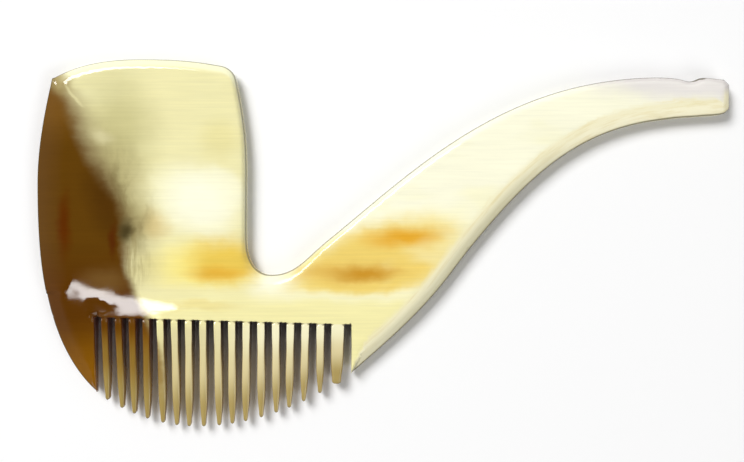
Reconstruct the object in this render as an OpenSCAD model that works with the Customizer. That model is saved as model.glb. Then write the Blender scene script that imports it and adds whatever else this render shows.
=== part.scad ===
// Pipe-shaped beard comb, sawn and filed from one flat plate of horn.
// The plate lies flat: X runs towards the mouthpiece, Y towards the bowl's rim, Z through the plate.
// Each node is one region of the plate, and neighbours meet face to face.
// Local sizes start where the bowl's back wall (x = 0) crosses the line of tooth roots (y = 0).

/* [Teeth] */
// Number of teeth between the two end guards
tooth_count = 17; // [9:1:17]
// Space from the first saw slot to the second, at the front
pitch = 3.17; // [2.6:0.01:3.9]
// How much each next space is wider than the one before it
pitch_growth = 0.019; // [0:0.001:0.03]
// Width of a saw slot
slot_w = 1.55; // [1.1:0.05:2]
// Extra width of the last tooth, beside the heel
last_tooth_extra = 1.1; // [0:0.1:2]
// Length of the longest tooth
tooth_len = 24.2; // [16:0.1:32]
// How far in front of the bowl's back wall the longest tooth stands
longest_at = 11.6; // [6:0.1:16]
// Radius of the line of tooth tips in front of the longest tooth
tip_r_front = 34; // [28:1:60]
// Radius of the line of tooth tips behind the longest tooth
tip_r_heel = 52.5; // [45:1:90]
// Width left at the end of a tooth
tip_w = 0.7; // [0.4:0.05:1.1]
// Length over which a tooth narrows to its end
point_len = 8; // [4:0.5:10]
// How far the first tooth leans towards the heel at its end, and the last one away from it
row_lean = 0.43; // [0:0.01:0.8]
// How far the hand-filed tooth ends wander to either side
wander = 0.24; // [0:0.01:0.4]
// Fall of the line of tooth roots towards the heel, in degrees
root_fall = 1.6; // [0:0.1:3]

/* [Bowl] */
// Height of the rim above the tooth roots
bowl_h = 60.5; // [50:0.5:75]
// Width of the front guard at the tooth roots
guard_w = 9.8; // [7:0.1:12]
// How far the guard's point stands towards the teeth from the side of its slot
guard_lean = 0.3; // [0:0.1:0.6]
// How far the bowl's front swells out past the guard
swell = 3.4; // [1:0.1:5]
// Height of the fullest point of the bowl's front
swell_h = 32; // [24:0.5:40]
// How far the front corner of the rim stands back from the fullest point
rim_back = 3.4; // [1:0.1:6]
// How far the front corner lies below the top of the rim
rim_drop = 4.4; // [2:0.1:7]
// Size of the cut-off corner between the rim and the back wall
rim_corner = 2.6; // [1.5:0.1:4]
// Height above the tooth roots up to which the back wall is straight
back_h = 35; // [28:0.5:44]

/* [Stem] */
// Reach of the stem past the bowl's back wall
stem_reach = 111.5; // [95:0.5:135]
// Height of the stem's top line above the tooth roots
stem_rise = 56.3; // [46:0.5:68]
// Width of the throat from the back wall to its lowest point
throat_w = 5.8; // [4:0.1:8]
// Height of the throat's lowest point above the shoulder
neck_h = 3.7; // [3.5:0.1:6]
// Distance from the bowl's back wall to the last saw slot, under the stem
heel_reach = 24.2; // [20:0.1:28]
// Width of the heel at the shoulder
heel_w = 19.8; // [16:0.1:24]
// Length of the bit, the flat mouthpiece
bit_len = 16; // [13:0.5:20]
// Width of the bit at its lip
bit_w = 8.8; // [7:0.1:11]
// Height of the lip over the notch before it
lip_h = 0.7; // [0.3:0.1:1.2]

/* [Plate] */
// Thickness of the plate
plate_t = 5; // [4:0.1:6]
// Thickness left at the outer edge, between the bevels of the two faces
edge_t = 1.8; // [1.2:0.1:2.4]
// Width of the bevel round both faces
bevel_w = 2.8; // [1.5:0.1:3.4]
// Thickness of the plate at the end of the longest tooth
tip_t = 1.3; // [0.9:0.1:2]
// Height of the shoulder above the tooth roots, where the plate starts to thin
shoulder_h = 7; // [5:0.1:9]

/* [Hidden] */
// Distance from the first slot to slot i, centre to centre
function slot_step(i) =
    i * pitch + pitch_growth * i * (i - 1) / 2 + (i == tooth_count ? last_tooth_extra : 0);
slots_x = heel_reach - slot_w - slot_step(tooth_count);
function slot_left(i) = slots_x + slot_step(i);
function slot_right(i) = slot_left(i) + slot_w;
function root_y(x) = -x * tan(root_fall);
function tip_y(x) =
    let (away = x + longest_at)
    away * away / (2 * (away < 0 ? tip_r_front : tip_r_heel)) - tooth_len;

// Smooth curve from p, leaving at heading a, to q, arriving at heading b, with a pull along each
even_pull = 0.35;
function curve_frame(p, a, q, b, ka = even_pull, kb = even_pull) =
    let (d = norm(q - p))
    [p, p + ka * d * [cos(a), sin(a)], q - kb * d * [cos(b), sin(b)], q];
function on_curve(c, t) =
    pow(1 - t, 3) * c[0] + 3 * pow(1 - t, 2) * t * c[1] + 3 * (1 - t) * t * t * c[2] + pow(t, 3) * c[3];
function heading_on(c, t) =
    let (d = (1 - t) * (1 - t) * (c[1] - c[0]) + 2 * (1 - t) * t * (c[2] - c[1]) + t * t * (c[3] - c[2]))
    atan2(d.y, d.x);
function along(c, n, from = 0, to = 1) = [for (i = [0:n]) on_curve(c, from + (to - from) * i / n)];
// The bevel's inner crease beside a curve, on its left (turn 90) or its right (turn -90)
function crease(c, n, turn, from = 0, to = 1) = [
    for (i = [0:n])
        let (t = from + (to - from) * i / n)
        let (a = heading_on(c, t) + turn)
        on_curve(c, t) + bevel_w * [cos(a), sin(a)]
];
function drop_first(list) = [for (i = [1:len(list) - 1]) list[i]];

// Corners of the outline
throat_h = shoulder_h + neck_h;
// Height over which the back wall curves into the throat
throat_bend = 7.8;
throat_top = throat_h + throat_bend;
swell_x = slots_x - guard_w - swell;
front_tip = [slots_x + guard_lean, tip_y(slots_x + guard_lean)];
heel_tip = [heel_reach, tip_y(heel_reach)];
rim_front = [swell_x + rim_back, bowl_h - rim_drop];
// The cut-off corner's two ends, in corner sizes from the rim's height and the back wall
rim_end = [-2 * rim_corner, bowl_h - 0.65 * rim_corner];
back_start = [-rim_corner, bowl_h - 1.6 * rim_corner];
// Way from the throat's lowest point up to where the stem's top edge runs straight
climb = [12.4, 7.5];
stem_root = [throat_w, throat_h] + climb;
heel_top = [heel_reach + heel_w, shoulder_h];
// Way from the heel up to the stem's waist
heel_to_waist = [7.4, 9.5];
waist = heel_top + heel_to_waist;
bit_x = stem_reach - bit_len;
bit_top = [bit_x, stem_rise];
// How much deeper the bit is where it leaves the stem than at its lip
bit_flare = 1;
bit_low = [bit_x, stem_rise - bit_w - bit_flare];

// Headings of the outline, in degrees
down = -90;
front_top_heading = -103;
front_heading = -42;
rim_rise_heading = 29;
rim_end_heading = -12;
corner_in_heading = -20;
corner_out_heading = -70;
back_top_heading = -77;
climb_heading = 39;
heel_heading = 41;
shoulder_heading = 49.5;
waist_heading = 51;
bit_low_heading = 7;

// How strongly each curve is pulled along its end headings
front_pull = 0.33;
throat_pull = 0.42;
climb_pull = 0.38;
stem_top_pull = [0.3, 0.42];
stem_low_pull = [0.41, 0.36];

fullest = [swell_x, swell_h];
rim_top = [swell_x / 2, bowl_h];
front_upper = curve_frame(rim_front, front_top_heading, fullest, down, front_pull, front_pull);
front_lower = curve_frame(fullest, down, front_tip, front_heading, front_pull, front_pull);
rim_rise = curve_frame(rim_front, rim_rise_heading, rim_top, 0);
rim_fall = curve_frame(rim_top, 0, rim_end, rim_end_heading);
rim_round = curve_frame(rim_end, corner_in_heading, back_start, corner_out_heading);
back_upper = curve_frame(back_start, back_top_heading, [0, back_h], down);
throat_in = curve_frame([0, throat_top], down, [throat_w, throat_h], 0, throat_pull, throat_pull);
throat_out = curve_frame([throat_w, throat_h], 0, stem_root, climb_heading, climb_pull, climb_pull);
stem_top = curve_frame(stem_root, climb_heading, bit_top, 0, stem_top_pull[0], stem_top_pull[1]);
heel_edge = curve_frame(heel_tip, heel_heading, heel_top, shoulder_heading);
shank_low = curve_frame(heel_top, shoulder_heading, waist, waist_heading);
stem_low = curve_frame(
    waist, waist_heading, bit_low, bit_low_heading, stem_low_pull[0], stem_low_pull[1]
);

// Share of the stem's top edge that belongs to the shank
shank_share = 0.3;
// Half thicknesses of the plate, at its faces and at its edge
face_z = plate_t / 2;
edge_z = edge_t / 2;
// A reach past everything, for the solids that cut one region from the next, and a small overlap
far = 400;
margin = 1;
// Straight facets to a long, a middling and a short curve
long_steps = 16;
mid_steps = 8;
short_steps = 3;

// Distance down a tooth from its root at which its sides start to close in
shortest_straight = 0.2;
function point_start(length) = max(length - point_len, length * shortest_straight);
point_steps = 6;
// Bulge of a tooth's end, as a share of the end's width
end_bulge = 0.3;
// Turn from one tooth's wander to the next, in degrees
wander_turn = 100;
// Sideways lean of tooth i's end
function lean_of(i) =
    row_lean * (1 - 2 * (i - 1) / (tooth_count - 1)) + wander * sin(wander_turn * (i - 1));

function tooth_name(i) = str("tooth_", i < 10 ? "0" : "", i);

horn_cream = "#e9dfa6";
horn_pale = "#f3efcf";
horn_amber = "#d9a441";
horn_olive = "#6b4c17";
horn_tooth = "#cdb878";

// The finished comb is centred over the frame's origin and lies on its back face
module placed() {
    translate([-(swell_x + stem_reach) / 2, -(bowl_h - tooth_len) / 2, 0]) children();
}

// Convex plate with a bevel round both faces
module bevelled(outline) {
    hull() {
        translate([0, 0, face_z - edge_z]) linear_extrude(edge_t) polygon(outline);
        linear_extrude(plate_t) offset(delta = -bevel_w) polygon(outline);
    }
}

// Right prism that cuts one region out of the plate
module region(outline) {
    translate([0, 0, -margin]) linear_extrude(plate_t + 2 * margin) polygon(outline);
}

// The plate's side view: full thickness down to the shoulder, then thinning to the tooth ends
module thinning(x_from, x_to) {
    end_y = -tooth_len - margin;
    slope = (face_z - tip_t / 2) / (shoulder_h + tooth_len);
    end_z = tip_t / 2 - slope * margin;
    translate([x_from, 0, face_z])
        rotate([90, 0, 90])
            linear_extrude(x_to - x_from)
                polygon([
                    [end_y, -end_z], [shoulder_h, -face_z], [far, -face_z],
                    [far, face_z], [shoulder_h, face_z], [end_y, end_z]
                ]);
}

// Solid strip between two edges, given as stations of
// [left edge, right edge, left crease, right crease, half thickness at the creases]
function ring(s) = [
    [s[0].x, s[0].y, face_z - edge_z], [s[0].x, s[0].y, face_z + edge_z],
    [s[2].x, s[2].y, face_z + s[4]], [s[3].x, s[3].y, face_z + s[4]],
    [s[1].x, s[1].y, face_z + edge_z], [s[1].x, s[1].y, face_z - edge_z],
    [s[3].x, s[3].y, face_z - s[4]], [s[2].x, s[2].y, face_z - s[4]]
];
function strip_side(a, b, j) =
    let (k = (j + 1) % 8)
    j < 4 ? [[a + j, b + k, a + k], [a + j, b + j, b + k]] : [[a + j, b + j, a + k], [b + j, b + k, a + k]];
function cap(a, square_start) =
    square_start
        ? [[a, a + 1, a + 2, a + 7], [a + 7, a + 2, a + 3, a + 4, a + 5, a + 6]]
        : [[a, a + 1, a + 2, a + 7], [a + 7, a + 2, a + 3, a + 6], [a + 6, a + 3, a + 4, a + 5]];
function reversed(list) = [for (i = [len(list) - 1:-1:0]) list[i]];

module strip(stations, square_start = false) {
    count = len(stations);
    polyhedron(
        points = [for (s = stations) each ring(s)],
        faces = concat(
            cap(0, square_start),
            [for (i = [0:count - 2]) for (j = [0:7]) each strip_side(8 * i, 8 * (i + 1), j)],
            [for (f = cap(8 * (count - 1), false)) reversed(f)]
        )
    );
}

front_edge = concat(along(front_upper, mid_steps), drop_first(along(front_lower, long_steps)));
// Outlines run on past the comb's ends, and region() cuts them off
overrun = 6;
past_tip = front_tip + overrun * [cos(front_heading), sin(front_heading)];
below_roots = [0, -overrun];
rim_edge = concat(
    along(rim_rise, mid_steps), drop_first(along(rim_fall, mid_steps)),
    drop_first(along(rim_round, short_steps)), drop_first(along(back_upper, mid_steps))
);

// Head of the comb: rim and back wall
module bowl() {
    color(horn_cream) placed() intersection() {
        bevelled(concat(rim_edge, [below_roots], [past_tip], reversed(drop_first(front_edge))));
        region([
            [-far, shoulder_h], [-bevel_w, shoulder_h], [-bevel_w, throat_top], [far, throat_top],
            [far, far], [-far, far]
        ]);
    }
}

// Left side of the plate below the shoulder, with room to its right
module head_below() {
    bevelled(concat([[far, rim_front.y], [far, past_tip.y]], [past_tip], reversed(drop_first(front_edge))));
}

// Band between the shoulder and the tooth roots
module root_band() {
    color(horn_amber) placed() intersection() {
        head_below();
        thinning(-far, far);
        region([
            [-far, shoulder_h], [-far, root_y(-far)], [heel_reach, root_y(heel_reach)],
            [heel_reach, shoulder_h]
        ]);
    }
}

// Wide tooth at the front, which ends the row
module front_guard() {
    color(horn_olive) placed() intersection() {
        head_below();
        thinning(-far, far);
        region([
            [-far, root_y(-far)], [-far, -far], [front_tip.x, -far], front_tip,
            [slots_x, root_y(slots_x)]
        ]);
    }
}

// Wedge under the stem, which ends the row at the heel
module heel_guard() {
    edge = along(heel_edge, mid_steps);
    before = heel_tip - overrun * [cos(heel_heading), sin(heel_heading)];
    after = heel_top + 2 * overrun * [cos(waist_heading), sin(waist_heading)];
    color(horn_pale) placed() intersection() {
        bevelled(concat([before], edge, [after, [-far, after.y], [-far, before.y]]));
        thinning(-far, far);
        region([
            [heel_reach, shoulder_h], [heel_reach, -far], [far, -far], [far, shoulder_h]
        ]);
    }
}

// One tooth between slot i - 1 and slot i
module tooth(i) {
    left = slot_right(i - 1);
    right = slot_left(i);
    mid = (left + right) / 2;
    half = (right - left) / 2;
    end_half = (tip_w + (i == tooth_count ? last_tooth_extra : 0)) / 2;
    lean = lean_of(i);
    root = root_y(mid);
    end = tip_y(mid + lean);
    length = root - end;
    start = point_start(length);
    // Half width and sideways lean at a distance down from the root
    function half_at(d) =
        d < start ? half : end_half + (half - end_half) * (1 - pow((d - start) / (length - start), 2));
    function mid_at(d) = mid + lean * d / length;
    downs = [for (k = [0:point_steps]) start + (length - start) * k / point_steps];
    right_side = [for (d = downs) [mid_at(d) + half_at(d), root - d]];
    left_side = [for (d = reversed(downs)) [mid_at(d) - half_at(d), root - d]];
    end_round = [[mid + lean, end - tip_w * end_bulge]];
    color(horn_tooth) placed() intersection() {
        region(concat([[left, root_y(left)], [right, root_y(right)]], right_side, end_round, left_side));
        thinning(left - pitch, right + pitch);
    }
}

// Stem's root, from the throat to the waist
module shank() {
    round_steps = 2 * short_steps;
    upper = concat(
        along(throat_in, round_steps), drop_first(along(throat_out, round_steps)),
        drop_first(along(stem_top, round_steps, 0, shank_share))
    );
    upper_crease = concat(
        crease(throat_in, round_steps, -90), drop_first(crease(throat_out, round_steps, -90)),
        drop_first(crease(stem_top, round_steps, -90, 0, shank_share))
    );
    // The lower side runs along the shoulder first, as a square cut, and then along the outline
    square_end = heel_top.x - bevel_w / sin(shoulder_heading);
    square_steps = 3 * round_steps - short_steps - 1;
    square = [
        for (i = [0:square_steps])
            [-bevel_w + (square_end + bevel_w) * i / square_steps, shoulder_h]
    ];
    lower = concat(square, along(shank_low, short_steps));
    lower_crease = concat(square, crease(shank_low, short_steps, 90));
    color(horn_amber) placed() strip(
        [for (i = [0:len(upper) - 1]) [upper[i], lower[i], upper_crease[i], lower_crease[i], face_z]],
        square_start = true
    );
}

// Stem, from the waist to the bit
module stem() {
    upper = along(stem_top, long_steps, shank_share, 1);
    lower = along(stem_low, long_steps);
    upper_crease = crease(stem_top, long_steps, -90, shank_share, 1);
    lower_crease = crease(stem_low, long_steps, 90);
    color(horn_pale) placed() strip(
        [for (i = [0:long_steps]) [upper[i], lower[i], upper_crease[i], lower_crease[i], face_z]]
    );
}

// Flat mouthpiece: a notch, a small lip, rounded corners and a bevelled end
module bit() {
    low_y = stem_rise - bit_w;
    // Places along the bit: its belly, the notch, the lip and the rounded corner
    places = [bit_x + 4, stem_reach - 9, stem_reach - 6.4, stem_reach - 1.2];
    // Drop of the top edge and of the bottom edge at each place
    top_drops = [0.3, lip_h + 0.2, 0.1, 0.5];
    low_drops = [0.5, 0.3, 0.1, -0.5];
    upper = [for (i = [0:3]) [places[i], stem_rise - top_drops[i]]];
    lower = [for (i = [0:3]) [places[i], low_y - low_drops[i]]];
    inset = [0, bevel_w];
    end_inset = [stem_reach - bevel_w - places[3], bevel_w];
    // Rounding of the end's top and bottom corners
    end_upper = [stem_reach, stem_rise - 1.7];
    end_lower = [stem_reach, low_y + 1.5];
    end_third = (end_upper - end_lower) / 3;
    color(horn_cream) placed() strip([
        [bit_top, bit_low, crease(stem_top, 1, -90)[1], crease(stem_low, 1, 90)[1], face_z],
        for (i = [0:2]) [upper[i], lower[i], upper[i] - inset, lower[i] + inset, face_z],
        [upper[3], lower[3], upper[3] + [end_inset.x, -end_inset.y], lower[3] + end_inset, face_z],
        [end_upper, end_lower, end_upper - end_third, end_lower + end_third, edge_z]
    ]);
}

bowl();
root_band();
shank();
stem();
bit();
front_guard();
heel_guard();
for (i = [1:tooth_count])
    tooth(i);
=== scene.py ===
"""Beard comb in the shape of a pipe, cut from one plate of polished horn."""
import math

import bpy
import numpy as np
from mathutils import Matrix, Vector
from mathutils.geometry import delaunay_2d_cdt
from mathutils.kdtree import KDTree


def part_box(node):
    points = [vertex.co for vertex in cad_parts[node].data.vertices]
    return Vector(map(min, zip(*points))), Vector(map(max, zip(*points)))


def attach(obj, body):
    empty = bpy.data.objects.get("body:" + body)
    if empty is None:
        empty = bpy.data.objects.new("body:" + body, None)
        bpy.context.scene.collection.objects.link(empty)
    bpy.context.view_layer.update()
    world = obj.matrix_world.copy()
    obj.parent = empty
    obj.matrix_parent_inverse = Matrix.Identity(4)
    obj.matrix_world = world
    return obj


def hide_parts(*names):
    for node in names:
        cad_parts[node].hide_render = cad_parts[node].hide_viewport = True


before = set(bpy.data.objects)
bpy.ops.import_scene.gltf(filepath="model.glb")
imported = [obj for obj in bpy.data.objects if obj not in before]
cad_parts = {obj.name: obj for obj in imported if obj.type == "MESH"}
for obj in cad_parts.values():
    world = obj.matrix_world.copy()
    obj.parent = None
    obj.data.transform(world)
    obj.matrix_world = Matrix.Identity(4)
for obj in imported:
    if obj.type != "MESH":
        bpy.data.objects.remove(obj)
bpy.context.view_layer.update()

MM = 0.001
TEETH = sorted(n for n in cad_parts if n.startswith("tooth_"))


def box_mm(node):
    low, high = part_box(node)
    return np.array(low) / MM, np.array(high) / MM


# ---------------------------------------------------------------- sizes, in millimetres
BOWL_LOW, BOWL_HIGH = box_mm("bowl")
PLATE = BOWL_HIGH[2] - BOWL_LOW[2]
MID_Z = (BOWL_HIGH[2] + BOWL_LOW[2]) / 2
SHOULDER_Y = BOWL_LOW[1]
ROOT_Y = box_mm(TEETH[0])[1][1]
TIP_Y = min(box_mm(n)[0][1] for n in TEETH)
SWELL_X, BACK_X, RIM_Y = BOWL_LOW[0], BOWL_HIGH[0], BOWL_HIGH[1]
BIT_LOW, BIT_HIGH = box_mm("bit")
THROAT = (BACK_X + 5.8, SHOULDER_Y + 3.7)
TIP_HALF = 0.65

# Widths of the filed rounding round the outline
FRONT_W, RIM_W, BACK_W, GUARD_W = 7.0, 2.3, 1.1, 3.5
STEM_TOP_W, STEM_LOW_W, THROAT_W, BIT_END_W = 1.4, 4.2, 3.0, 2.0

# How finely the net follows the outline: rings of points at these depths, on every nth point
OUTLINE_STEP, JOINT_STEP, GRID_STEP, WELD = 0.42, 0.5, 1.0, 0.002
RINGS = ((0.03, 1), (0.08, 1), (0.2, 1), (0.36, 1), (0.56, 1), (0.85, 1),
         (1.3, 2), (1.9, 2), (2.6, 2), (3.5, 3))
GRID_FROM = 4.1
SHARP_TURN = 38  # degrees

# The camera looks straight down at this point, from this height
CAMERA_AT, CAMERA_HEIGHT = (-2.7, 2.7), 242.1
FLOOR_HALF = 4.0  # metres
FLOOR_COLOUR = (0.95, 0.95, 0.95, 1)


# ---------------------------------------------------------------- outlines taken from the frame
def section(node):
    """The node's outline at the middle of the plate: one closed loop of points."""
    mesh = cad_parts[node].data
    mesh.calc_loop_triangles()
    co = np.array([v.co for v in mesh.vertices]) / MM
    side = co[:, 2] - MID_Z - 1e-4
    links = {}
    for tri in mesh.loop_triangles:
        hits = []
        for a, b in zip(tri.vertices, (*tri.vertices[1:], tri.vertices[0])):
            if (side[a] > 0) != (side[b] > 0):
                t = side[a] / (side[a] - side[b])
                p = co[a] + t * (co[b] - co[a])
                hits.append((round(p[0], 3), round(p[1], 3)))
        if len(hits) == 2 and hits[0] != hits[1]:
            links.setdefault(hits[0], set()).add(hits[1])
            links.setdefault(hits[1], set()).add(hits[0])
    start = min(links)
    loop, last, here = [start], None, start
    while True:
        ahead = [p for p in sorted(links[here]) if p != last and (p == start or p not in loop)]
        if not ahead or ahead[0] == start and len(ahead) == 1:
            break
        last, here = here, [p for p in ahead if p != start][0]
        loop.append(here)
    return straightened(np.array(loop))


def straightened(loop):
    """The loop anticlockwise, without the points that lie on a straight run."""
    x, y = loop.T
    if np.sum(x * np.roll(y, -1) - np.roll(x, -1) * y) < 0:
        loop = loop[::-1]
    a, b = loop - np.roll(loop, 1, 0), np.roll(loop, -1, 0) - loop
    bend = np.abs(a[:, 0] * b[:, 1] - a[:, 1] * b[:, 0]) / np.linalg.norm(b - -a, axis=1)
    return loop[bend > 0.002]


def inside(points, loop):
    """Which points lie inside a closed loop."""
    x, y = points[:, 0, None], points[:, 1, None]
    a, b = loop, np.roll(loop, -1, 0)
    spans = (a[:, 1] > y) != (b[:, 1] > y)
    rise = np.where(np.abs(b[:, 1] - a[:, 1]) < 1e-12, 1e-12, b[:, 1] - a[:, 1])
    cross = a[:, 0] + (y - a[:, 1]) * (b[:, 0] - a[:, 0]) / rise
    return (np.sum(spans & (x < cross), axis=1) % 2).astype(bool)


def distance(points, a, b):
    """Distance from each point to the nearest of the segments a-b."""
    out = np.empty(len(points))
    d = b - a
    length2 = np.maximum((d ** 2).sum(1), 1e-12)
    for i in range(0, len(points), 2000):
        p = points[i:i + 2000, None, :]
        t = np.clip(((p - a) * d).sum(2) / length2, 0, 1)
        out[i:i + 2000] = np.sqrt((((a + t[..., None] * d) - p) ** 2).sum(2).min(1))
    return out


def depth_in(points, loop):
    """Distance from each point to a closed loop of closely spaced points, and the nearest one."""
    tree = KDTree(len(loop))
    for i, q in enumerate(loop):
        tree.insert((q[0], q[1], 0), i)
    tree.balance()
    at = np.array([tree.find((q[0], q[1], 0))[1] for q in points])
    out = np.full(len(points), 1e9)
    for step in (-1, 1):
        a, b = loop[at], loop[(at + step) % len(loop)]
        d = b - a
        t = np.clip(((points - a) * d).sum(1) / np.maximum((d ** 2).sum(1), 1e-12), 0, 1)
        out = np.minimum(out, np.linalg.norm(a + t[:, None] * d - points, axis=1))
    return out, at


def split_at(loops):
    """Every loop's edges, cut where a neighbour's corner touches them, with the node's name."""
    touch, shortest = 0.01, 0.005
    corners = np.vstack(list(loops.values()))
    edges = []
    for node, loop in loops.items():
        for a, b in zip(loop, np.roll(loop, -1, 0)):
            d = b - a
            length = np.linalg.norm(d)
            t = ((corners - a) @ d) / length ** 2
            off = np.abs((corners[:, 0] - a[0]) * d[1] - (corners[:, 1] - a[1]) * d[0]) / length
            between = (off < touch) & (t > touch / length) & (t < 1 - touch / length)
            on = np.unique(np.round(t[between], 5))
            stops = [a] + [corners[np.argmin(np.abs(t - s) + 1e3 * (off > touch))] for s in on] + [b]
            edges += [(node, p, q) for p, q in zip(stops, stops[1:]) if np.linalg.norm(q - p) > shortest]
    return edges


def outer_and_joint(loops):
    """The edges on the comb's outline, and the edges where two regions of the plate meet."""
    edges = split_at(loops)
    a = np.array([e[1] for e in edges])
    b = np.array([e[2] for e in edges])
    d = (b - a) / np.linalg.norm(b - a, axis=1)[:, None]
    outside = (a + b) / 2 + 0.03 * np.stack([d[:, 1], -d[:, 0]], 1)
    met = np.zeros(len(edges), bool)
    for loop in loops.values():
        met |= inside(outside, loop)
    return (a[~met], b[~met]), (a[met], b[met])


def chained(a, b):
    """Edges joined end to end into one closed loop."""
    order, used = [0], {0}
    while len(order) < len(a):
        gap = np.linalg.norm(a - b[order[-1]], axis=1)
        gap[list(used)] = 1e9
        order.append(int(np.argmin(gap)))
        used.add(order[-1])
    return a[order]


def rounded(loop, corner, step):
    """The loop as smooth curves between its corners, with a point every step or so."""
    n = len(loop)
    points = []
    for i in range(n):
        p0, p1, p2, p3 = (loop[(i + k) % n] for k in (-1, 0, 1, 2))
        if corner[i]:
            p0 = 2 * p1 - p2
        if corner[(i + 1) % n]:
            p3 = 2 * p2 - p1
        count = max(1, int(round(np.linalg.norm(p2 - p1) / step)))
        k = [0.0]
        for u, v in ((p0, p1), (p1, p2), (p2, p3)):
            k.append(k[-1] + max(np.linalg.norm(v - u), 1e-6) ** 0.5)
        for t in np.linspace(k[1], k[2], count, endpoint=False):
            a1 = ((k[1] - t) * p0 + (t - k[0]) * p1) / (k[1] - k[0])
            a2 = ((k[2] - t) * p1 + (t - k[1]) * p2) / (k[2] - k[1])
            a3 = ((k[3] - t) * p2 + (t - k[2]) * p3) / (k[3] - k[2])
            b1 = ((k[2] - t) * a1 + (t - k[0]) * a2) / (k[2] - k[0])
            b2 = ((k[3] - t) * a2 + (t - k[1]) * a3) / (k[3] - k[1])
            points.append(((k[2] - t) * b1 + (t - k[1]) * b2) / (k[2] - k[1]))
    return np.array(points)


def corners_of(loop):
    """Which points of the loop are real corners: sharp turns, but not the rounded tooth ends."""
    a, b = loop - np.roll(loop, 1, 0), np.roll(loop, -1, 0) - loop
    turn = np.degrees(np.arctan2(a[:, 0] * b[:, 1] - a[:, 1] * b[:, 0], (a * b).sum(1)))
    at_tip = np.zeros(len(loop), bool)
    for node in TEETH:
        low, high = box_mm(node)
        near = (loop[:, 0] > low[0] - 0.1) & (loop[:, 0] < high[0] + 0.1)
        at_tip |= near & (loop[:, 1] < low[1] + 2)
    return (np.abs(turn) > SHARP_TURN) & ~at_tip


# ---------------------------------------------------------------- thickness of the plate
def smooth(t):
    t = np.clip(t, 0, 1)
    return t * t * (3 - 2 * t)


def in_row(p):
    """Which points belong to the row of teeth, and not to the solid part of the comb."""
    left, right = box_mm("front_guard")[1][0] - 1.6, box_mm(TEETH[-1])[1][0] + 2.2
    return (p[:, 0] > left) & (p[:, 0] < right) & (p[:, 1] < ROOT_Y + 0.5)


def edge_width(loop):
    """Width of the rounding beside each point of the outline, and which points are the teeth's."""
    ahead = np.roll(loop, -1, 0) - np.roll(loop, 1, 0)
    out = np.stack([ahead[:, 1], -ahead[:, 0]], 1) / np.linalg.norm(ahead, axis=1)[:, None]
    x, y = loop.T
    on_bowl = (x < BACK_X + 0.5) & (y > SHOULDER_Y)
    width = np.where(out[:, 1] > 0, STEM_TOP_W, STEM_LOW_W)
    width = np.where(on_bowl, np.where(out[:, 0] < -0.6, FRONT_W, RIM_W), width)
    width = np.where(on_bowl & (out[:, 0] > 0.8), BACK_W, width)
    width = np.where((x < SWELL_X + 25) & (y < SHOULDER_Y), GUARD_W, width)
    throat = np.exp(-((x - THROAT[0]) ** 2 + (y - THROAT[1]) ** 2) / (2 * 4.0 ** 2))
    width = width + (THROAT_W - width) * throat
    width = np.where((x > BIT_LOW[0] + 8) & (out[:, 0] > 0.7), BIT_END_W, width)
    row = in_row(loop) & ~((x < box_mm("front_guard")[1][0] + 0.6) & (out[:, 0] < 0))
    row &= ~((x > box_mm("heel_guard")[0][0] - 0.1) & (out[:, 0] > 0))
    kernel = np.exp(-np.linspace(-2, 2, 21) ** 2)
    wrap = lambda v: np.convolve(np.concatenate([v[-10:], v, v[:10]]), kernel, "valid")
    eased = wrap(np.where(row, 0, width)) / np.maximum(wrap(np.where(row, 0.0, 1.0)), 1e-6)
    down = (ROOT_Y - y) / (ROOT_Y - TIP_Y)
    return np.where(row, 0.1 + 0.8 * smooth((down - 0.08) / 0.8), eased), row


def full_half(p):
    """Half thickness away from the edges: flat, then thinning from the shoulder to the tips.

    The bend at the shoulder is long and slow near the front of the bowl, and short further back.
    """
    slope = (PLATE / 2 - TIP_HALF) / (SHOULDER_Y - 3 - TIP_Y)
    x, y = p[:, 0] - SWELL_X, p[:, 1]
    glint_top = SHOULDER_Y + 3.5 - 7.4 * smooth((x - 3.5) / 21.7)
    glint_high = 3.9 - 3.65 * smooth((x - 23) / 9.8)
    soft = 3.6 * glint_high
    bend_start = glint_top + 0.35 * soft
    below = bend_start - y
    eased = np.where(below > soft, below - soft / 2, np.where(below > 0, below ** 2 / (2 * soft), 0))
    ripple = 0.0018 * (np.sin(1.6 * x + 0.5 * y) + np.sin(0.55 * x - 1.5 * y))
    return PLATE / 2 - slope * eased - ripple


def half_thickness(p, d, width, row):
    """Half thickness at each point, from its distance d to the outline and the rounding there."""
    tooth_edge, front_edge, plain_edge, roundness = 0.8, 0.66, 0.42, 1.8
    edge = np.where(row, tooth_edge, np.where(width > 4.5, front_edge, plain_edge))
    away = 1 - np.clip(d / width, 0, 1)
    body = full_half(p) * (1 - (1 - edge) * away ** roundness)
    lip_w = np.where(row, 0.07, 0.3)
    lip = np.clip(d / lip_w, 0, 1)
    return body - 0.9 * lip_w * (1 - np.sqrt(1 - (1 - lip) ** 2))


# ---------------------------------------------------------------- one net over the whole comb
def offset_points(loop, rings):
    """Rows of points beside the outline, at growing depths inside it."""
    ahead = np.roll(loop, -1, 0) - np.roll(loop, 1, 0)
    normal = np.stack([-ahead[:, 1], ahead[:, 0]], 1) / np.linalg.norm(ahead, axis=1)[:, None]
    rows = []
    for depth, thin in rings:
        p = (loop + depth * normal)[::thin]
        rows.append(p[depth_in(p, loop)[0] > depth * 0.97])
    return np.vstack(rows)


def grid_points(low, high, step):
    x = np.arange(low[0], high[0], step)
    y = np.arange(low[1], high[1], step * 0.866)  # rows of even triangles
    gx, gy = np.meshgrid(x, y)
    gx = gx + (np.arange(len(y)) % 2)[:, None] * step / 2
    return np.stack([gx.ravel(), gy.ravel()], 1)


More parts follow.
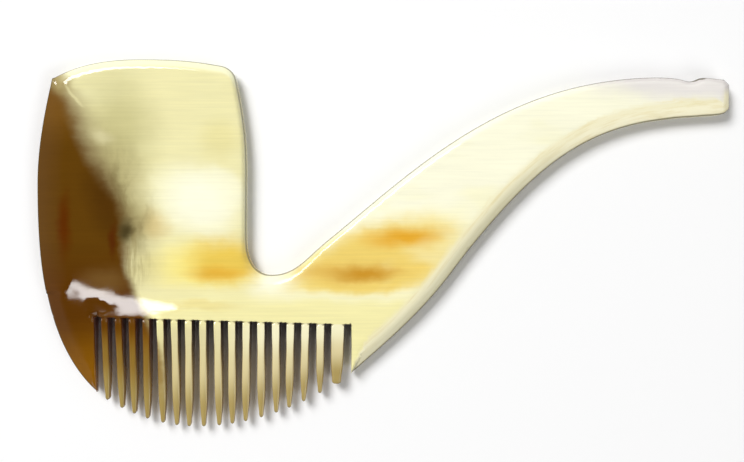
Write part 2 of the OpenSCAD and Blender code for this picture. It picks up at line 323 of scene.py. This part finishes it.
def comb_net():
    """Points, triangles and each triangle's node: the comb's plan, cut into its named regions."""
    loops = {n: section(n) for n in sorted(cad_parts)}
    (oa, ob), (ja, jb) = outer_and_joint(loops)
    raw = chained(oa, ob)
    loop = rounded(raw, corners_of(raw), OUTLINE_STEP)
    rings = offset_points(loop, RINGS)
    grid = grid_points(loop.min(0), loop.max(0), GRID_STEP)
    grid = grid[inside(grid, loop)]
    grid = grid[depth_in(grid, loop)[0] > GRID_FROM]
    joints = np.vstack([ja, jb])
    free = np.vstack([rings, grid])
    free = free[distance(free, ja, jb) > 0.05]
    steps = [a + (b - a) * t for a, b in zip(ja, jb)
             for t in np.linspace(0, 1, max(2, int(np.linalg.norm(b - a) / JOINT_STEP)))[1:-1]]
    points = np.vstack([loop, joints, *([np.array(steps)] if steps else []), free])
    n = len(loop)
    edges = [(i, (i + 1) % n) for i in range(n)]
    edges += [(n + i, n + len(ja) + i) for i in range(len(ja))]
    made = delaunay_2d_cdt([Vector(p) for p in points], edges, [], 0, WELD)
    p = np.array([v[:] for v in made[0]])
    tris = np.array([f for f in made[2] if len(f) == 3])
    middle = p[tris].mean(1)
    keep = inside(middle, loop)
    tris, middle = tris[keep], middle[keep]
    names = list(loops)
    score = np.stack([np.where(inside(middle, loops[k]), 0, 1e3) for k in names], 1)
    lost = score.min(1) > 0
    for j, k in enumerate(names):
        score[lost, j] = distance(middle[lost], loops[k], np.roll(loops[k], -1, 0))
    return p, tris, score.argmin(1), names, loop


def area_normals(co, faces):
    """Smooth normals of a triangle mesh."""
    a, b, c = (co[faces[:, i]] for i in range(3))
    flat = np.cross(b - a, c - a)
    out = np.zeros_like(co)
    for i in range(3):
        np.add.at(out, faces[:, i], flat)
    return out / np.maximum(np.linalg.norm(out, axis=1), 1e-12)[:, None]


def open_edges(tris):
    """Directed edges that only one triangle has."""
    pairs = np.vstack([tris[:, [0, 1]], tris[:, [1, 2]], tris[:, [2, 0]]])
    have = set(map(tuple, pairs))
    return np.array([e for e in map(tuple, pairs) if (e[1], e[0]) not in have])


def walls(edges, n):
    """Upright faces from the underside's points, numbered n higher, to the top's along the edges."""
    return np.vstack([np.column_stack([edges[:, 0] + n, edges[:, 1] + n, edges[:, 1]]),
                      np.column_stack([edges[:, 0] + n, edges[:, 1], edges[:, 0]])])


def comb_pieces():
    """One closed mesh for each named region. Neighbours share the points and normals at their seam."""
    p, tris, owner, names, loop = comb_net()
    a, b, c = (p[tris[:, i]] for i in range(3))
    turned = (b - a)[:, 0] * (c - a)[:, 1] - (b - a)[:, 1] * (c - a)[:, 0] < 0
    tris[turned] = tris[turned][:, ::-1]
    d, at = depth_in(p, loop)
    width, row = edge_width(loop)
    half = half_thickness(p, d, width[at], row[at])
    bevel = np.where(row[at], 0, 1 - np.clip(d / width[at], 0, 1))
    # Painted shade mask: 1 on the slot walls at the roots of the teeth, fading out towards their ends.
    fade_length = 0.6 * (ROOT_Y - TIP_Y)
    sawn = np.where(row[at] & (d < 0.3), 1 - smooth((ROOT_Y - p[:, 1]) / fade_length), 0)
    n = len(p)
    top = np.column_stack([p, MID_Z + half])
    low = np.column_stack([p, MID_Z - half])
    co = np.vstack([top, low])
    normals = area_normals(co, np.vstack([tris, tris[:, ::-1] + n, walls(open_edges(tris), n)]))
    made = {}
    for j, name in enumerate(names):
        own = tris[owner == j]
        faces = np.vstack([own, own[:, ::-1] + n, walls(open_edges(own), n)])
        used, index = np.unique(faces, return_inverse=True)
        facts = {"edge_mm": d[used % n], "bevel": bevel[used % n], "sawn": sawn[used % n],
                 "down_tooth": down_tooth(name, co[used])}
        made[name] = piece(name, co[used], index.reshape(-1, 3), normals[used], facts)
    return made


def down_tooth(name, co):
    """0 at a tooth's root, 1 at its end, and 0 on the solid part of the comb."""
    if name not in TEETH:
        return np.zeros(len(co))
    tip = box_mm(name)[0][1]
    return np.clip((ROOT_Y - co[:, 1]) / (ROOT_Y - tip), 0, 1)


def piece(name, co, faces, normals, facts):
    mesh = bpy.data.meshes.new("horn_" + name)
    mesh.from_pydata(co * MM, [], faces.tolist())
    mesh.shade_smooth()
    mesh.normals_split_custom_set_from_vertices(normals)
    for key, values in facts.items():
        fact = mesh.attributes.new(key, "FLOAT", "POINT")
        fact.data.foreach_set("value", values.astype(np.float32))
    obj = bpy.data.objects.new("horn_" + name, mesh)
    bpy.context.scene.collection.objects.link(obj)
    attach(obj, "root")
    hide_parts(name)
    return obj


# ---------------------------------------------------------------- horn
def linear(colour):
    """A colour given as it looks on a screen, from 0 to 255, in linear light."""
    light = [c / 255 / 12.92 if c < 11 else ((c / 255 + 0.055) / 1.055) ** 2.4 for c in colour]
    return (*light, 1)


def bowl(u, v):
    """A point on the bowl: u from its front to its back wall, v from the shoulder to the rim."""
    return SWELL_X + u * (BACK_X - SWELL_X), SHOULDER_Y + v * (RIM_Y - SHOULDER_Y)


class Painter:
    """Builds a material's nodes. Positions are in millimetres in the comb's frame."""

    def __init__(self, tree):
        self.tree = tree
        at = self.new("ShaderNodeTexCoord").outputs["Object"]
        self.raw = self.new("ShaderNodeVectorMath", "SCALE", {0: at, "Scale": 1000}).outputs[0]
        self.flat = self.new("ShaderNodeVectorMath", "MULTIPLY", {0: self.raw, 1: (1, 1, 0)}).outputs[0]
        self.colour = None

    def new(self, kind, operation=None, inputs=(), **settings):
        node = self.tree.nodes.new(kind)
        if operation:
            node.operation = operation
        for key, value in settings.items():
            setattr(node, key, value)
        for key, value in dict(inputs).items():
            if isinstance(value, bpy.types.NodeSocket):
                self.tree.links.new(value, node.inputs[key])
            else:
                node.inputs[key].default_value = value
        return node

    def maths(self, operation, a, b=0.0, c=0.0):
        return self.new("ShaderNodeMath", operation, {0: a, 1: b, 2: c}).outputs[0]

    def fade(self, value, start, end):
        """0 before start, 1 after end, with a smooth step between."""
        ends = {"Value": value, "From Min": start, "From Max": end}
        return self.new("ShaderNodeMapRange", None, ends, interpolation_type="SMOOTHSTEP").outputs[0]

    def noise(self, scale, stretch=(1, 1, 1), detail=3.0, rough=0.55, bend=0.0, of=None, angle=0.0):
        turned = self.new("ShaderNodeMapping", None, {
            "Vector": of or self.raw, "Rotation": (0, 0, math.radians(angle)), "Scale": stretch})
        return self.new("ShaderNodeTexNoise", None, {
            "Vector": turned.outputs[0], "Scale": scale, "Detail": detail, "Roughness": rough,
            "Distortion": bend})

    def warp(self, amount, scale, stretch=(1, 1, 1)):
        """Pushes the flat position about, so that every zone's edge is uneven."""
        waves = self.noise(scale, stretch, of=self.flat).outputs["Color"]
        centred = self.new("ShaderNodeVectorMath", "SUBTRACT", {0: waves, 1: (0.5, 0.5, 0.5)}).outputs[0]
        push = self.new("ShaderNodeVectorMath", "MULTIPLY", {0: centred, 1: (amount, amount, 0)}).outputs[0]
        self.flat = self.new("ShaderNodeVectorMath", "ADD", {0: self.flat, 1: push}).outputs[0]

    def oval(self, centre, radii, angle=0.0, soft=0.6):
        local = self.new("ShaderNodeMapping", None, {
            "Vector": self.flat, "Location": (*centre, 0), "Rotation": (0, 0, math.radians(angle)),
            "Scale": (*radii, 1)}, vector_type="TEXTURE").outputs[0]
        length = self.new("ShaderNodeVectorMath", "LENGTH", {0: local}).outputs["Value"]
        return self.fade(length, 1.0, 1.0 - soft)

    def past(self, point, heading, soft):
        """0 behind a line through point, 1 past it: heading is the way across it, in degrees."""
        local = self.new("ShaderNodeMapping", None, {
            "Vector": self.flat, "Location": (*point, 0), "Rotation": (0, 0, math.radians(heading))},
            vector_type="TEXTURE").outputs[0]
        x = self.new("ShaderNodeSeparateXYZ", None, {0: local}).outputs[0]
        return self.fade(x, -soft / 2, soft / 2)

    def attribute(self, name):
        return self.new("ShaderNodeAttribute", attribute_name=name).outputs["Fac"]

    def both(self, a, b):
        return self.maths("MULTIPLY", a, b)

    def outside(self, mask):
        return self.maths("SUBTRACT", 1.0, mask)

    def curve(self, value, places):
        """The value read off a smooth line through these (value, result) pairs."""
        curve = self.new("ShaderNodeFloatCurve", None, {"Value": value})
        line = curve.mapping.curves[0]
        line.points[0].location, line.points[1].location = places[0], places[-1]
        for place in places[1:-1]:
            line.points.new(*place)
        curve.mapping.update()
        return curve.outputs[0]

    def share(self, value, start, end):
        """How far the value is from start to end."""
        return self.maths("DIVIDE", self.maths("SUBTRACT", value, start), end - start)

    def layer(self, colour, mask, strength=1.0):
        """Lays a colour over what is there, where mask is 1."""
        if strength != 1.0:
            mask = self.maths("MULTIPLY", mask, strength)
        mix = self.new("ShaderNodeMix", None, {}, data_type="RGBA")
        for key, value in ((0, mask), (6, self.colour), (7, linear(colour))):
            if isinstance(value, bpy.types.NodeSocket):
                self.tree.links.new(value, mix.inputs[key])
            else:
                mix.inputs[key].default_value = value
        self.colour = mix.outputs[2]

    def spot(self, colour, centre, radii, angle=0.0, soft=0.9, strength=1.0, within=None):
        """Lays a colour over an oval, and only where within is 1."""
        mask = self.oval(centre, radii, angle, soft)
        self.layer(colour, self.both(within, mask) if within is not None else mask, strength)

    def shade(self, factor, low, high):
        """Darkens or lightens what is there by a factor from low to high."""
        by = self.new("ShaderNodeMapRange", None, {
            "Value": factor, "From Min": 0.25, "From Max": 0.75, "To Min": low, "To Max": high})
        lit = self.new("ShaderNodeVectorMath", "SCALE", {0: self.colour, "Scale": by.outputs[0]})
        self.colour = lit.outputs[0]


def dark_edge(paint):
    """1 on the dark front of the bowl, whose edge slants down and back from the front of the rim."""
    x, y, _ = paint.new("ShaderNodeSeparateXYZ", None, {0: paint.flat}).outputs
    height = paint.share(y, TIP_Y, RIM_Y)
    edge = paint.curve(height, (
        (0.0, 0.60), (0.28, 0.54), (0.38, 0.46), (0.44, 0.43), (0.56, 0.43), (0.64, 0.37),
        (0.76, 0.28), (0.86, 0.20), (0.94, 0.11), (1.0, 0.04)))
    past = paint.maths("SUBTRACT", edge, paint.share(x, SWELL_X, BACK_X))
    loose = paint.new("ShaderNodeMapRange", None, {
        "Value": height, "From Min": 0.5, "From Max": 0.85, "To Min": 0.04, "To Max": 0.13}).outputs[0]
    return paint.fade(paint.maths("DIVIDE", past, loose), -1.0, 1.0)


def lower_side(paint):
    """1 on the side of the stem that faces down, from the heel to the bit."""
    x, y, _ = paint.new("ShaderNodeSeparateXYZ", None, {0: paint.raw}).outputs
    middle = paint.curve(paint.share(x, BACK_X, BIT_HIGH[0]), (
        (0.0, 0.0), (0.25, 0.22), (0.5, 0.52), (0.68, 0.77), (0.82, 0.89), (1.0, 0.93)))
    height = paint.share(y, SHOULDER_Y, BIT_HIGH[1])
    return paint.fade(paint.maths("SUBTRACT", middle, height), -0.03, 0.03)


def paint_stem(paint):
    """White stem with a grey shade at the heel and soft yellow clouds."""
    paint.spot((230, 228, 184), (BACK_X + 42, SHOULDER_Y), (10, 4), 45, strength=0.8)
    paint_stem_root(paint)
    clouds = paint.noise(0.05, (1, 2.2, 1), 2.0, angle=-40)
    paint.layer((250, 246, 196), paint.fade(clouds.outputs["Fac"], 0.5, 0.72), 0.45)


def paint_stem_root(paint):
    """The amber patch where the stem leaves the bowl, with a deeper streak above and below."""
    x, y = BACK_X + 30, SHOULDER_Y + 6.4
    above = paint.past((x, SHOULDER_Y - 0.4), 90, 2.5)
    paint.spot((250, 236, 150), (x, y), (28, 11.5), 20, 0.5, 0.8, above)
    paint.spot((242, 212, 114), (x, y), (24.5, 10.8), 17, 0.5, within=above)
    paint.spot((233, 172, 50), (x + 6.5, y + 6), (13.5, 3.8), 2, 0.98)
    paint.spot((224, 180, 84), (x - 7, y - 2), (19, 3.6), 2, 0.9, 0.8)
    paint.spot((206, 150, 46), (x - 2.5, y - 2.2), (11, 2.4), 0, 0.98)


def paint_bit(paint):
    """Grey mouthpiece, with painted shade as a dark line in the nick behind its lip."""
    bit = paint.past((BIT_LOW[0] - 16, BIT_LOW[1]), 0, 26)
    upper = paint.past((BIT_LOW[0], (BIT_LOW[1] + BIT_HIGH[1]) / 2), 84, 6)
    grey = paint.both(bit, upper)
    paint.layer((232, 227, 226), grey, 0.85)
    filed = paint.fade(paint.attribute("bevel"), 0.1, 0.6)
    paint.layer((214, 207, 204), paint.both(filed, grey), 0.7)
    # Painted shade in the nick behind the lip.
    paint.spot((84, 76, 50), (BIT_HIGH[0] - 7.4, BIT_HIGH[1] - 0.5), (2.4, 0.5), 16, 0.8, 0.9)


def paint_band(paint):
    """Cream band over the roots of the teeth."""
    paint.layer((248, 240, 176), paint.past(bowl(0.5, -0.02), -90, 5))
    paint.spot((238, 222, 148), (SWELL_X + 38, ROOT_Y + 3), (12, 2.2), 0, 0.8, 0.7)


def paint_bowl(paint):
    """Cream back of the bowl with a grey cloud and a white glow, and amber over the neck."""
    paint.spot((200, 193, 136), bowl(0.40, 0.70), (13, 20), 10, 0.9, 0.85)
    paint.spot((232, 222, 156), bowl(0.88, 0.66), (7, 7), 30, 0.8, 0.7)
    paint.spot((255, 254, 226), bowl(0.77, 0.39), (14, 11), -25, 0.8)
    paint.spot((255, 254, 226), bowl(0.84, 0.42), (8.5, 8), 0, 0.4, 0.5)
    paint.spot((220, 196, 134), bowl(0.56, 0.28), (6, 5), 0, 0.9, 0.75)
    above = paint.past(bowl(0.5, 0.01), 90, 5)
    paint.spot((250, 234, 138), bowl(0.80, 0.11), (18, 8.4), 0, 0.8, within=above)
    paint.spot((235, 201, 88), bowl(0.90, 0.13), (12.5, 8), 0, 0.75, within=above)
    paint.spot((230, 178, 62), bowl(0.87, 0.08), (10, 2.8), 2, 0.95, 0.9)


def paint_smoke(paint):
    """Olive smoke and upright fibres behind the edge of the dark front."""
    halo = paint.oval(bowl(0.40, 0.38), (10, 24), 16, 0.9)
    paint.layer((152, 138, 86), halo, 0.75)
    smoke = paint.noise(0.16, (1.5, 0.7, 1), 3.0, 0.6, of=paint.flat).outputs["Fac"]
    paint.layer((96, 80, 40), paint.both(halo, paint.fade(smoke, 0.42, 0.7)), 0.4)
    fibres = paint.noise(0.5, (2.4, 0.25, 1), 3.0, 0.6, angle=4).outputs["Fac"]
    paint.spot((140, 118, 62), bowl(0.46, 0.14), (5, 9), 0, 0.8, 0.4, paint.fade(fibres, 0.42, 0.62))


def paint_front(paint):
    """Dark translucent front of the bowl: brown, amber towards the guard, with red and black streaks."""
    dark = dark_edge(paint)
    paint.layer((96, 62, 11), dark)
    paint.layer((90, 50, 5), paint.both(dark, paint.past(bowl(0.3, 0.12), -90, 14)), 0.8)
    paint.layer((136, 88, 9), paint.both(dark, paint.past((SWELL_X + 12, ROOT_Y - 6), -80, 16)))
    paint.spot((114, 76, 18), bowl(0.10, 0.80), (9, 11), within=dark)
    paint.spot((80, 49, 9), bowl(0.33, 0.38), (6, 13), 20, 0.9, 0.9, dark)
    paint.spot((92, 38, 2), bowl(0.135, 0.28), (2.4, 11), 0, 0.9, 0.8, dark)
    paint.spot((84, 36, 6), bowl(0.37, 0.22), (1.6, 6), -4, 0.9, 0.8, dark)
    paint.spot((116, 84, 40), bowl(0.33, 0.05), (8, 5), 0, 0.9, 0.8, dark)


def paint_marks(paint):
    """The black knot beside the dark front, a pale fleck, and a painted highlight along the crease at the
    front of the rim.
    """
    paint.spot((120, 104, 60), bowl(0.46, 0.27), (4, 8), 10, 0.95, 0.4)
    paint.spot((66, 56, 28), bowl(0.43, 0.26), (2.2, 4.4), 8, 0.95, 0.9)
    paint.spot((222, 214, 166), bowl(0.31, 0.67), (4.2, 2.6), -30, 0.95, 0.7)
    paint.spot((170, 152, 96), bowl(0.11, 0.91), (6, 4.2), -50, 0.9, 0.8)
    # Painted highlight along the crease at the front of the rim.
    paint.spot((232, 224, 170), bowl(0.19, 0.84), (4.6, 0.6), -52, 0.8, 0.6)


def paint_grain(paint):
    """Fine and broad bands along the plate."""
    grain = paint.noise(1.0, (0.05, 1.7, 0.6), 4.0, 0.65, angle=2)
    paint.shade(grain.outputs["Fac"], 0.95, 1.05)
    broad = paint.noise(0.22, (0.22, 1, 1), 3.0, 0.6, angle=2)
    paint.shade(broad.outputs["Fac"], 0.97, 1.03)


def paint_teeth(paint, slope):
    """Teeth that turn tan towards their ends, with painted shade on their flanks, darkest in the slots at
    the roots.
    """
    down, sawn = paint.attribute("down_tooth"), paint.attribute("sawn")
    flank_shade = paint.fade(slope, 0.9, 0.35)
    pale = paint.past((SWELL_X + 29, ROOT_Y), 0, 7)
    dark = paint.outside(pale)
    white = paint.past((SWELL_X + 45, ROOT_Y), 0, 20)
    dull = paint.both(pale, paint.outside(white))
    paint.layer((251, 246, 214), paint.both(white, paint.fade(down, 0.0, 0.1)), 0.7)
    paint.layer((212, 198, 156), paint.both(dull, paint.fade(down, 0.0, 0.15)), 0.6)
    paint.layer((220, 203, 150), paint.both(pale, paint.fade(down, 0.15, 0.5)), 0.8)
    paint.layer((146, 116, 50), paint.both(dark, paint.fade(down, 0.08, 0.45)), 0.8)
    paint.layer((168, 145, 82), paint.fade(down, 0.45, 0.85), 0.9)
    # Painted shade: the steep flanks of the teeth are darkened and warmed.
    paint.layer((150, 112, 42), paint.both(paint.fade(down, 0.0, 0.04), flank_shade), 0.85)
    # Painted shade: the slot walls near the roots are painted near black, browner on the dark teeth.
    cut = paint.both(flank_shade, sawn)
    paint.layer((60, 24, 3), cut)
    paint.layer((118, 56, 8), paint.both(dark, cut), 0.8)


def paint_rim_light(paint, bevel):
    """Painted light: the filed rim of the bowl is painted paler where its bevel is lit."""
    behind, high = paint.past(bowl(0.14, 0.9), 0, 6), paint.past(bowl(0.5, 0.9), 90, 4)
    rim = paint.both(paint.both(behind, high), paint.past(bowl(1.2, 0.9), 180, 6))
    # Painted light on the rim bevel.
    paint.layer((255, 254, 216), paint.both(rim, paint.fade(bevel, 0.05, 0.5)), 0.8)


def paint_lower_edge(paint, bevel):
    """The wide filed edge under the stem, in painted shade: yellower over the edge, darker at its outer side
    and greyer at the heel, with fibres along it.
    """
    low = paint.both(paint.past((BACK_X + 20, ROOT_Y - 2), 0, 4), lower_side(paint))
    x = paint.new("ShaderNodeSeparateXYZ", None, {0: paint.raw}).outputs[0]
    along = paint.new("ShaderNodeCombineXYZ", None, {0: bevel, 1: x}).outputs[0]
    fibres = paint.noise(1.0, (5.0, 0.12, 1), 3.0, 0.6, of=along).outputs["Fac"]
    streaks = paint.both(paint.fade(bevel, 0.0, 0.2), paint.fade(fibres, 0.45, 0.65))
    heel = paint.both(low, paint.past((BACK_X + 68, SHOULDER_Y), 180, 24))
    # Painted shade: the edge that faces down and away from the lamp is painted yellower and darker towards
    # its outer side.
    paint.layer((252, 245, 206), paint.both(low, paint.fade(bevel, 0.0, 0.3)), 0.9)
    paint.layer((242, 231, 182), paint.both(low, streaks), 0.8)
    paint.layer((230, 220, 174), paint.both(low, paint.fade(bevel, 0.85, 1.0)), 0.7)
    # Painted shade, greyer towards the heel.
    paint.layer((200, 194, 156), paint.both(heel, paint.fade(bevel, 0.15, 0.8)), 0.75)


def paint_outline_shade(paint, bevel, slope):
    """Painted shade: a thin dark line on the lip of the outline, but not on the upright edge of the plate.
    """
    lip = paint.both(paint.fade(paint.attribute("edge_mm"), 0.4, 0.05), paint.fade(bevel, 0.5, 0.9))
    # Painted shade along the lip of the outline.
    paint.layer((74, 64, 28), paint.both(paint.fade(slope, 0.02, 0.12), lip), 0.85)


def paint_edges(paint):
    normal = paint.new("ShaderNodeNewGeometry").outputs["True Normal"]
    face_z = paint.new("ShaderNodeSeparateXYZ", None, {0: normal}).outputs[2]
    slope = paint.maths("ABSOLUTE", face_z)
    bevel = paint.attribute("bevel")
    paint_teeth(paint, slope)
    paint_rim_light(paint, bevel)
    paint_lower_edge(paint, bevel)
    paint_outline_shade(paint, bevel, slope)


def horn_material():
    mat = bpy.data.materials.new("horn")
    mat.use_nodes = True
    links, shader = mat.node_tree.links, mat.node_tree.nodes["Principled BSDF"]
    paint = Painter(mat.node_tree)
    paint.colour = linear((254, 252, 224))
    paint.warp(4.0, 0.12)
    paint.warp(0.9, 0.5, (0.35, 1.6, 1))
    paint.layer((240, 233, 178), paint.past((BACK_X + 2, SHOULDER_Y), 180, 8))
    for part in (paint_stem, paint_bit, paint_band, paint_bowl, paint_smoke, paint_front, paint_marks,
                 paint_grain, paint_edges):
        part(paint)
    links.new(paint.colour, shader.inputs["Base Color"])
    polish(paint, links, shader)
    return mat


def polish(paint, links, shader):
    """A high polish with fine marks along the grain, duller on the filed edges behind the dark front."""
    fine = paint.noise(3.0, (0.1, 1.4, 1), 3.0, 0.6, angle=2).outputs["Fac"]
    rough = paint.new("ShaderNodeMapRange", None, {"Value": fine, "To Min": 0.03, "To Max": 0.06}).outputs[0]
    filed = paint.both(paint.fade(paint.attribute("bevel"), 0.0, 0.4), paint.past(bowl(0.25, 0.5), 0, 6))
    rough = paint.maths("ADD", rough, paint.both(filed, 0.2))
    links.new(rough, shader.inputs["Roughness"])
    bump = paint.new("ShaderNodeBump", None, {"Height": fine, "Strength": 0.03, "Distance": 0.00005})
    links.new(bump.outputs[0], shader.inputs["Normal"])


# ---------------------------------------------------------------- camera, floor and light
def aim(obj, at):
    obj.rotation_euler = (Vector(at) - obj.location).to_track_quat("-Z", "Y").to_euler()


def make_camera(at, height):
    data = bpy.data.cameras.new("camera")
    data.lens = 50
    data.sensor_width = 36
    data.clip_start = 0.01
    cam = bpy.data.objects.new("camera", data)
    bpy.context.scene.collection.objects.link(cam)
    cam.location = (at[0] * MM, at[1] * MM, height * MM)
    bpy.context.scene.camera = cam


def softbox(name, place, size, power, at=None):
    """A rectangular lamp, turned to face a point, or left facing straight down."""
    data = bpy.data.lights.new(name, "AREA")
    data.shape = "RECTANGLE"
    data.size, data.size_y = size[0] * MM, size[1] * MM
    data.energy = power
    lamp = bpy.data.objects.new(name, data)
    bpy.context.scene.collection.objects.link(lamp)
    lamp.location = Vector(place) * MM
    if at:
        aim(lamp, Vector(at) * MM)


def make_floor():
    half = FLOOR_HALF
    mesh = bpy.data.meshes.new("floor")
    corners = [(-half, -half, 0), (half, -half, 0), (half, half, 0), (-half, half, 0)]
    mesh.from_pydata(corners, [], [(0, 1, 2, 3)])
    obj = bpy.data.objects.new("floor", mesh)
    bpy.context.scene.collection.objects.link(obj)
    mat = bpy.data.materials.new("floor")
    mat.use_nodes = True
    inputs = mat.node_tree.nodes["Principled BSDF"].inputs
    inputs["Base Color"].default_value = FLOOR_COLOUR
    inputs["Roughness"].default_value = 0.9
    inputs["Specular IOR Level"].default_value = 0.1
    mesh.materials.append(mat)


def make_world(strength):
    """A pale studio all round, and a dark ceiling over the camera that a polished face mirrors."""
    world = bpy.data.worlds.new("studio")
    bpy.context.scene.world = world
    world.use_nodes = True
    tree = world.node_tree
    paint = Painter(tree)
    heading = paint.new("ShaderNodeTexCoord").outputs["Generated"]
    up = paint.new("ShaderNodeSeparateXYZ", None, {0: heading}).outputs[2]
    light = paint.new("ShaderNodeMapRange", None, {
        "Value": up, "From Min": 0.78, "From Max": 0.93, "To Min": strength, "To Max": 0.01})
    sky = tree.nodes["Background"].inputs
    sky["Color"].default_value = (1, 1, 1, 1)
    tree.links.new(light.outputs[0], sky["Strength"])


bpy.context.scene.view_settings.view_transform = "Standard"
make_camera(CAMERA_AT, CAMERA_HEIGHT)
make_floor()
make_world(0.25)
softbox("key", (-700, 800, 1240), (720, 720), 24.8, (0, 0, 0))
softbox("fill", (500, -600, 720), (560, 560), 2.7, (0, 0, 0))
softbox("window", (-193, -76, 520), (89, 30), 0.135)
material = horn_material()
for obj in comb_pieces().values():
    obj.data.materials.append(material)
